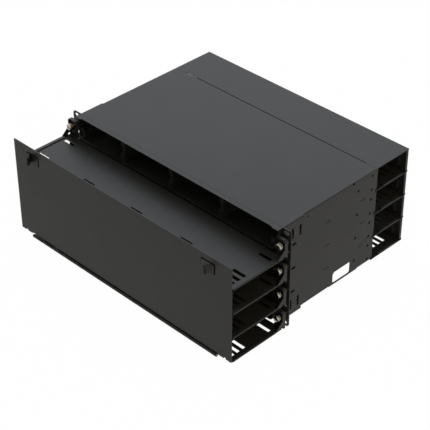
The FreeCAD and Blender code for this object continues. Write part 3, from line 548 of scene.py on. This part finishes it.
class Stage(bpy.types.Operator):
    """Pale floor, plain studio light and the camera"""
    bl_idname = "patchpanel.stage"
    bl_label = "Set the stage"

    # Where the camera stands, in metres, and how it is turned, in degrees.
    EYE = (1.3349, -1.2517, 1.3005)
    AZIMUTH = 44.99
    ELEVATION = 35.47
    ROLL = -0.14
    # Width of its sensor in millimetres, and how far it sees in metres.
    SENSOR = 36.0
    FAR = 50.0
    # Each lamp: its place and width in metres, its tint, and whether surfaces mirror it. The key
    # is cool and the others warm. The low fill isn't mirrored, so that the covers stay dark when
    # they are seen from behind.
    LAMPS = {
        "key": ((-1.35, 1.35, 1.85), 2.4, "#e9f1ff", True),
        "side": ((2.1, 0.0, 1.6), 0.7, "#fff1dd", True),
        "fill": ((1.9, -1.75, 0.45), 0.9, "#ffeed8", False),
    }
    # How far the floor is under the part, which keeps their faces apart, and its paint.
    FLOOR_GAP = 0.1 * MM
    FLOOR_PAINT = (0.8, 0.8, 0.8, 1.0)

    def execute(self, context):
        scene = context.scene
        size = scene.patch_panel_stage
        scene.view_settings.view_transform = "Standard"
        self.floor(size)
        self.world(scene, size)
        for name in self.LAMPS:
            self.lamp(name, getattr(size, name))
        self.camera(scene, size)
        return {"FINISHED"}

    def shown_share(self, tree, most):
        """How much of a plain white is shown to the eye, in mirrors and through glass."""
        path = add_node(tree, "ShaderNodeLightPath").outputs
        either = add_node(tree, "ShaderNodeMath", {"operation": "MAXIMUM"}, {
            0: path["Is Camera Ray"], 1: path["Is Glossy Ray"]})
        any_of = add_node(tree, "ShaderNodeMath", {"operation": "MAXIMUM"}, {
            0: either.outputs[0], 1: path["Is Transmission Ray"]})
        scaled = add_node(tree, "ShaderNodeMath", {"operation": "MULTIPLY"}, {
            0: any_of.outputs[0], 1: most})
        return scaled.outputs[0]

    def floor(self, size):
        """White floor under the part, which still takes a faint shadow."""
        half = size.floor / 2
        level = CAD_BOX[0].z - self.FLOOR_GAP
        mesh = bmesh.new()
        corners = ((-half, -half), (half, -half), (half, half), (-half, half))
        mesh.faces.new([mesh.verts.new((x, y, level)) for x, y in corners])
        data = bpy.data.meshes.new("floor")
        mesh.to_mesh(data)
        mesh.free()
        material = bpy.data.materials.new("white_studio_floor")
        material.use_nodes = True
        tree = material.node_tree
        tree.nodes.clear()
        paint = add_node(tree, "ShaderNodeBsdfDiffuse", inputs={"Color": self.FLOOR_PAINT})
        white = add_node(tree, "ShaderNodeEmission", inputs={"Color": WHITE, "Strength": 1.0})
        mix = add_node(tree, "ShaderNodeMixShader", inputs={
            "Fac": self.shown_share(tree, size.floor_white),
            1: paint.outputs[0], 2: white.outputs[0]})
        add_node(tree, "ShaderNodeOutputMaterial", inputs={"Surface": mix.outputs[0]})
        data.materials.append(material)
        floor = bpy.data.objects.new("floor", data)
        bpy.context.scene.collection.objects.link(floor)

    def world(self, scene, size):
        """White all round for the eye and for reflections, and a soft even light for the rest."""
        world = bpy.data.worlds.new("studio")
        world.use_nodes = True
        scene.world = world
        tree = world.node_tree
        tree.nodes.clear()
        soft = add_node(tree, "ShaderNodeBackground", inputs={"Color": WHITE, "Strength": size.sky})
        white = add_node(tree, "ShaderNodeBackground", inputs={"Color": WHITE, "Strength": 1.0})
        mix = add_node(tree, "ShaderNodeMixShader", inputs={
            "Fac": self.shown_share(tree, 1.0), 1: soft.outputs[0], 2: white.outputs[0]})
        add_node(tree, "ShaderNodeOutputWorld", inputs={"Surface": mix.outputs[0]})

    def lamp(self, name, watts):
        """Square soft lamp aimed at the middle of the part."""
        place, width, tint, mirrored = self.LAMPS[name]
        data = bpy.data.lights.new(name, "AREA")
        data.shape = "SQUARE"
        data.size = width
        data.energy = watts
        data.color = linear(tint)
        lamp = bpy.data.objects.new(name, data)
        lamp.location = place
        lamp.visible_glossy = mirrored
        aim = (CAD_BOX[0] + CAD_BOX[1]) / 2 - Vector(place)
        lamp.rotation_euler = aim.to_track_quat("-Z", "Y").to_euler()
        bpy.context.scene.collection.objects.link(lamp)

    def camera(self, scene, size):
        """Camera in the photograph's place."""
        azimuth = math.radians(self.AZIMUTH)
        elevation = math.radians(self.ELEVATION)
        roll = math.radians(self.ROLL)
        # Unit vectors: from the part to the camera, then to the camera's right and up.
        back = Vector((math.sin(azimuth) * math.cos(elevation),
                       -math.cos(azimuth) * math.cos(elevation), math.sin(elevation)))
        level = Vector((math.cos(azimuth), math.sin(azimuth), 0.0))
        upright = back.cross(level)
        right = math.cos(roll) * level + math.sin(roll) * upright
        up = math.cos(roll) * upright - math.sin(roll) * level
        data = bpy.data.cameras.new("camera")
        data.sensor_width = self.SENSOR
        data.lens = size.lens
        data.clip_end = self.FAR
        camera = bpy.data.objects.new("camera", data)
        turn_to = Matrix((right, up, back)).transposed().to_4x4()
        camera.matrix_world = Matrix.Translation(self.EYE) @ turn_to
        scene.collection.objects.link(camera)
        scene.camera = camera


class PatchPanelSidebar(bpy.types.Panel):
    """Settings and steps of the patch panel"""
    bl_idname = "VIEW3D_PT_patch_panel"
    bl_label = "Patch panel"
    bl_space_type = "VIEW_3D"
    bl_region_type = "UI"
    bl_category = "Patch panel"

    def draw(self, context):
        column = self.layout.column(align=True)
        for name in GROUPS:
            group = getattr(context.scene, name)
            column.label(text=GROUPS[name].__doc__)
            for setting in GROUPS[name].__annotations__:
                column.prop(group, setting)
        for step in STEPS:
            column.operator(step.bl_idname)


GROUPS = {
    "patch_panel_finish": PatchPanelFinish,
    "patch_panel_screw": PatchPanelScrew,
    "patch_panel_pins": PatchPanelPins,
    "patch_panel_stage": PatchPanelStage,
}
STEPS = (SheetMetal, Hardware, Mouldings, Thumbscrews, Pins, Stage)


def register():
    for group in GROUPS.values():
        bpy.utils.register_class(group)
    for step in STEPS:
        bpy.utils.register_class(step)
    bpy.utils.register_class(PatchPanelSidebar)
    for name, group in GROUPS.items():
        setattr(bpy.types.Scene, name, bpy.props.PointerProperty(type=group))


def unregister():
    for name in GROUPS:
        delattr(bpy.types.Scene, name)
    bpy.utils.unregister_class(PatchPanelSidebar)
    for step in reversed(STEPS):
        bpy.utils.unregister_class(step)
    for group in GROUPS.values():
        bpy.utils.unregister_class(group)


def main():
    register()
    bpy.ops.patchpanel.sheet_metal()
    bpy.ops.patchpanel.hardware()
    bpy.ops.patchpanel.mouldings()
    bpy.ops.patchpanel.thumbscrews()
    bpy.ops.patchpanel.pins()
    bpy.ops.patchpanel.stage()


if __name__ == "__main__":
    main()
